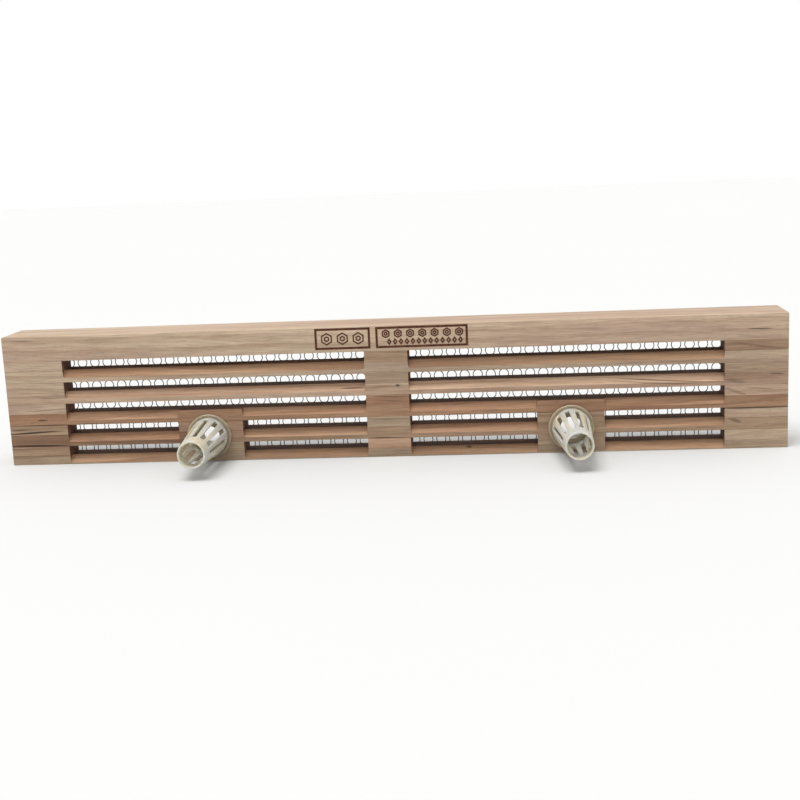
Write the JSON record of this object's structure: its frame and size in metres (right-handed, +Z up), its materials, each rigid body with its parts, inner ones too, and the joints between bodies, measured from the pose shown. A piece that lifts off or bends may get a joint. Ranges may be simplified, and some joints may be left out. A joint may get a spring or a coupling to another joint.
{
  "type": "pollen trap board",
  "caption": "Laminated wooden beehive entrance board with rows of slots backed by wire rings, bevelled slats and push-fit plastic bee escape cones.",
  "frame": {"origin": "centre of the underside of the bottom rail, which stands on the landing board", "axes": "+X along the board, +Y from the slotted front towards the hive, +Z up"},
  "size_m": [0.42, 0.0761, 0.0715],
  "materials": {
    "rail_wood": "planed, unfinished",
    "block_wood": "planed, unfinished",
    "slat_wood": "planed, unfinished",
    "post_wood": "sawn, unfinished",
    "steel_wire": "drawn stainless wire",
    "staple_wire": "bright zinc",
    "ivory_plastic": "moulded, slightly translucent"
  },
  "bodies": {
    "board": {"bottom_rail": "slat_wood", "rear_post_centre": "post_wood", "rear_post_left": "post_wood", "rear_post_right": "post_wood", "ring_strip_1": "steel_wire", "ring_strip_2": "steel_wire", "ring_strip_3": "steel_wire", "ring_strip_4_left": "steel_wire", "ring_strip_4_middle": "steel_wire", "ring_strip_4_right": "steel_wire", "ring_strip_5_left": "steel_wire", "ring_strip_5_middle": "steel_wire", "ring_strip_5_right": "steel_wire", "row_1_block_centre": "block_wood", "row_1_block_left": "block_wood", "row_1_block_right": "block_wood", "row_2_block_centre": "block_wood", "row_2_block_left": "block_wood", "row_2_block_right": "block_wood", "row_3_block_centre": "block_wood", "row_3_block_left": "block_wood", "row_3_block_right": "block_wood", "row_4_block_centre": "block_wood", "row_4_block_left": "block_wood", "row_4_block_right": "block_wood", "row_4_cone_block_left": "block_wood", "row_4_cone_block_right": "block_wood", "row_5_block_centre": "block_wood", "row_5_block_left": "block_wood", "row_5_block_right": "block_wood", "row_5_cone_block_left": "block_wood", "row_5_cone_block_right": "block_wood", "slat_1": "slat_wood", "slat_2": "slat_wood", "slat_3": "slat_wood", "slat_4_left": "slat_wood", "slat_4_middle": "slat_wood", "slat_4_right": "slat_wood", "strip_staples": "staple_wire", "top_rail": "rail_wood"},
    "left_cone": {"escape_cone_left": "ivory_plastic"},
    "right_cone": {"escape_cone_right": "ivory_plastic"}
  },
  "joints": [
    {"name": "left_cone_pull", "type": "slide", "parent": "board", "child": "left_cone", "axis": [0.0122, -0.9999, 0], "range_m": [0, 0.0125]},
    {"name": "right_cone_pull", "type": "slide", "parent": "board", "child": "right_cone", "axis": [0.0523, -0.9986, 0], "range_m": [0, 0.0125]}
  ]
}
